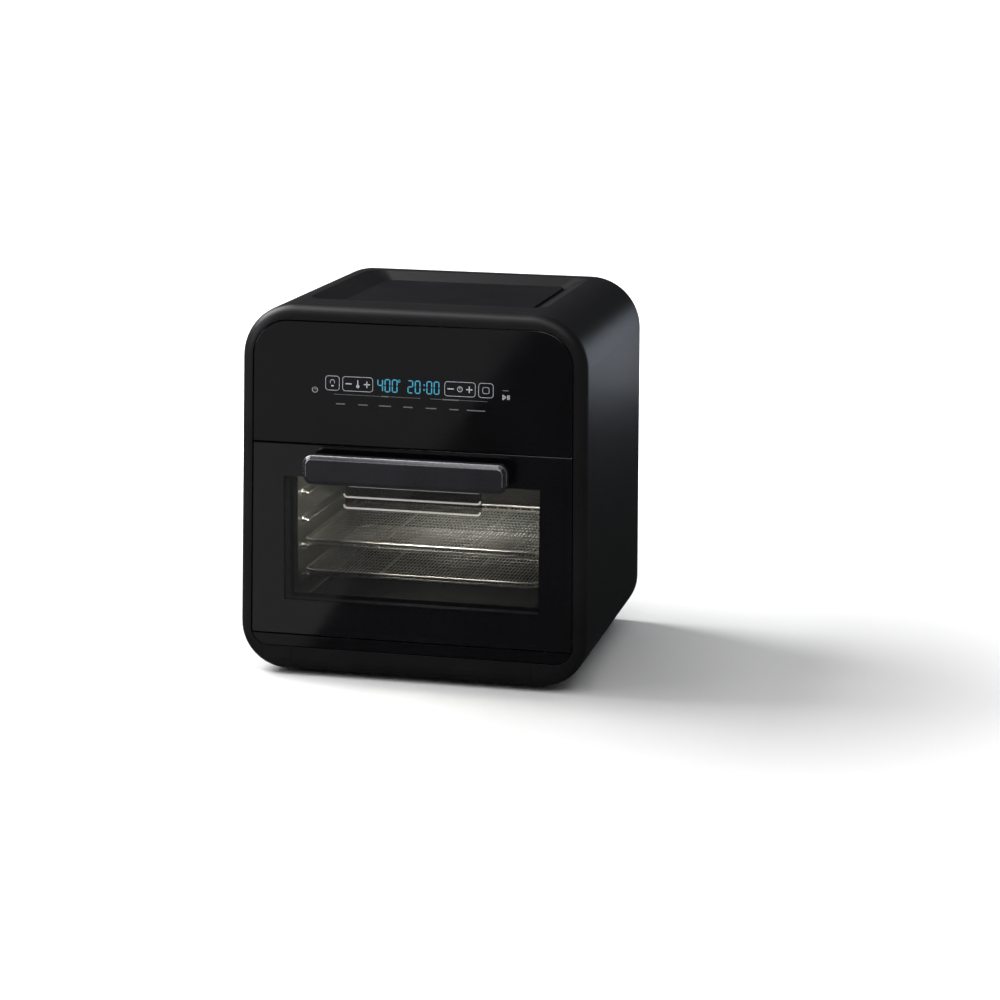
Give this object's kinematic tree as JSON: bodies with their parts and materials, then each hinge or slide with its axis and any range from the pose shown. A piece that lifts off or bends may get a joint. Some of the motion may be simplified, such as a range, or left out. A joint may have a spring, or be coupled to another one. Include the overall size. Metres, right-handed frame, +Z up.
{
  "type": "toaster oven",
  "caption": "Tall rounded black countertop oven with a drop-down glass door, bar handle, touch panel and sliding mesh trays.",
  "frame": {"origin": "on the standing surface, under the middle of the overall width and depth", "axes": "+Z up, front faces -Y, +X to the right seen from the front"},
  "size_m": [0.3498, 0.345, 0.37],
  "materials": {
    "casing_black": "satin moulded",
    "gloss_black_glass": "gloss, back printed",
    "clear_glass": "clear",
    "handle_black": "satin gloss",
    "inner_black": "matte",
    "stainless": "brushed",
    "zinc_steel": "galvanised",
    "tray_wire": "bright wire",
    "black_enamel": "enamel",
    "element_sheath": "heat darkened",
    "screw_steel": "plated",
    "fan_aluminium": "satin",
    "motor_steel": "lacquered",
    "board_green": "solder mask",
    "component_dark": "moulded",
    "display_dark": "tinted",
    "foot_rubber": "matte",
    "bush_nylon": "natural nylon"
  },
  "bodies": {
    "casing": {"outer_shell": "casing_black", "top_panel": "casing_black", "base_pan": "casing_black", "rear_cover": "casing_black", "cord_gland": "inner_black", "front_bezel": "casing_black", "hinge_bushes": "bush_nylon", "hinge_springs": "zinc_steel", "lower_trim": "gloss_black_glass", "rubber_feet": "foot_rubber", "base_screws": "screw_steel", "rear_screws": "screw_steel", "control_glass": "gloss_black_glass", "control_backing": "inner_black", "display_module": "display_dark", "control_board": "board_green", "cavity_left_wall": "stainless", "cavity_right_wall": "stainless", "cavity_floor": "stainless", "cavity_ceiling": "stainless", "cavity_back_wall": "stainless", "cavity_front_flange": "stainless", "cavity_supports": "zinc_steel", "fan_housing": "stainless", "heating_coil": "element_sheath", "coil_clips": "zinc_steel", "heater_guard": "tray_wire", "lamp_holder": "stainless", "lamp_bulb": "clear_glass", "lamp_lens": "clear_glass", "temperature_probe": "element_sheath", "heat_shield": "zinc_steel", "motor_bracket": "zinc_steel", "fan_motor": "motor_steel", "thermal_cutout": "fan_aluminium", "power_board": "board_green", "transformer": "motor_steel", "relays": "component_dark", "capacitors": "component_dark", "terminal_block": "inner_black", "door_sensor": "inner_black"},
    "door": {"door_glass": "gloss_black_glass", "door_frame": "inner_black", "door_inner_panel": "black_enamel", "door_inner_glass": "clear_glass", "door_seal": "foot_rubber", "door_magnet": "screw_steel", "hinge_pins": "screw_steel", "handle_bar": "handle_black", "handle_posts": "handle_black", "handle_screws": "screw_steel", "handle_bracket": "stainless"},
    "fan": {"hot_air_fan": "fan_aluminium", "motor_cooling_fan": "fan_aluminium", "fan_shaft": "screw_steel", "fan_nut": "screw_steel"},
    "upper_tray": {"upper_tray": "tray_wire"},
    "lower_tray": {"lower_tray": "tray_wire"},
    "drip_tray": {"drip_tray": "black_enamel"}
  },
  "joints": [
    {"name": "door_hinge", "type": "hinge", "parent": "casing", "child": "door", "pos_m": [0, -0.1345, 0.05], "axis": [1, 0, 0], "range_deg": [0, 90]},
    {"name": "fan_spin", "type": "hinge", "parent": "casing", "child": "fan", "pos_m": [0, 0.0065, 0.25], "axis": [0, 0, 1], "continuous": true},
    {"name": "upper_tray_slide", "type": "slide", "parent": "casing", "child": "upper_tray", "axis": [0, -1, 0], "range_m": [0, 0.138]},
    {"name": "lower_tray_slide", "type": "slide", "parent": "casing", "child": "lower_tray", "axis": [0, -1, 0], "range_m": [0, 0.088]},
    {"name": "drip_tray_slide", "type": "slide", "parent": "casing", "child": "drip_tray", "axis": [0, -1, 0], "range_m": [0, 0.032]}
  ],
  "couplings": [
    {"joint": "upper_tray_slide", "follows": "door_hinge", "m_per_rad": 0.087},
    {"joint": "lower_tray_slide", "follows": "door_hinge", "m_per_rad": 0.055},
    {"joint": "drip_tray_slide", "follows": "door_hinge", "m_per_rad": 0.02}
  ]
}
